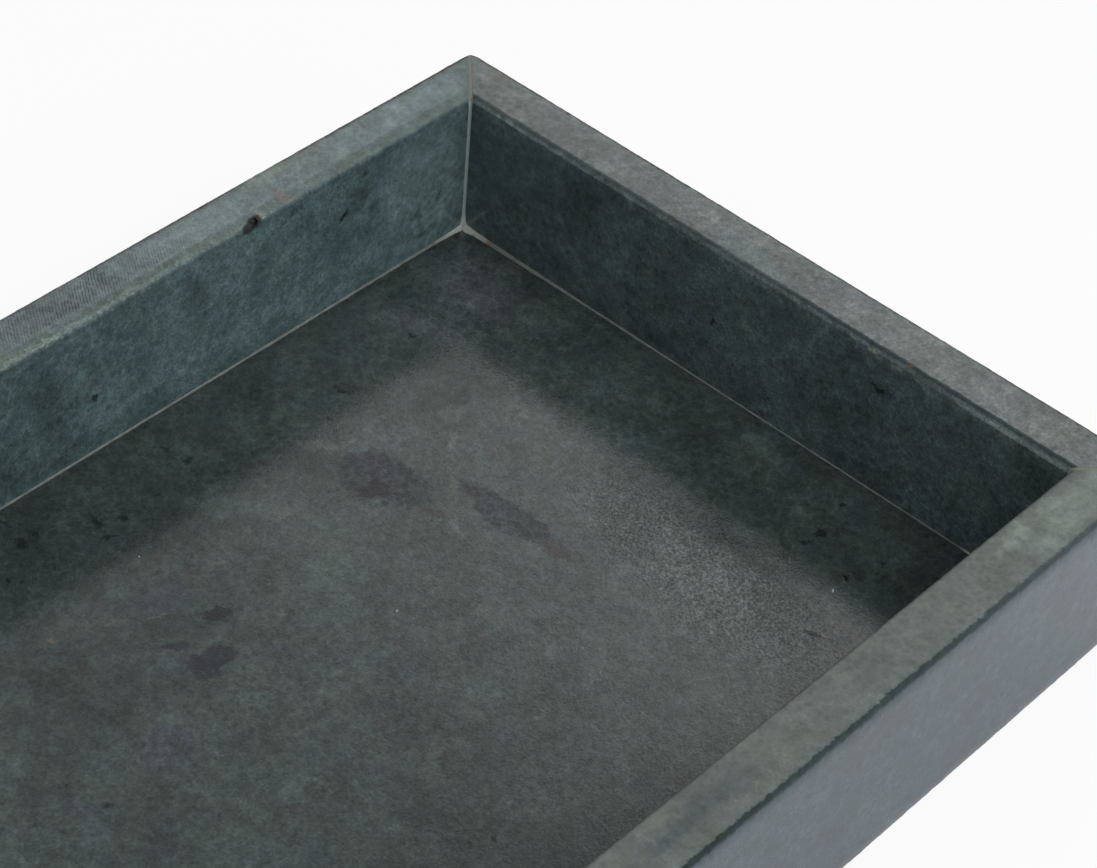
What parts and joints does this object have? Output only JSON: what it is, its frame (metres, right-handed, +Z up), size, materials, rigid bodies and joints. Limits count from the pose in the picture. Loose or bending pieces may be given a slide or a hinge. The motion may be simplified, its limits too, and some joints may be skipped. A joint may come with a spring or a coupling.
{
  "type": "valet tray",
  "caption": "Rectangular marble valet tray: mitred polished walls bonded round an inset slab, on small round foot pads, for holding keys, watches and other pocket items.",
  "frame": {"origin": "centre of the footprint, on the surface that the foot pads stand on", "axes": "+X across the tray to its right, +Y along the tray to its rear, +Z up"},
  "size_m": [0.153, 0.254, 0.0384],
  "materials": {
    "base_marble": "satin",
    "wall_marble": "satin",
    "joint_resin": "satin",
    "pad_rubber": "matte"
  },
  "bodies": {
    "root": {"base_slab": "base_marble", "left_wall": "wall_marble", "right_wall": "wall_marble", "rear_wall": "wall_marble", "front_wall": "wall_marble", "left_floor_bead": "joint_resin", "right_floor_bead": "joint_resin", "rear_floor_bead": "joint_resin", "front_floor_bead": "joint_resin", "rear_left_mitre_resin": "joint_resin", "rear_right_mitre_resin": "joint_resin", "front_left_mitre_resin": "joint_resin", "front_right_mitre_resin": "joint_resin", "rear_left_foot_pad": "pad_rubber", "rear_right_foot_pad": "pad_rubber", "front_left_foot_pad": "pad_rubber", "front_right_foot_pad": "pad_rubber"}
  },
  "joints": []
}
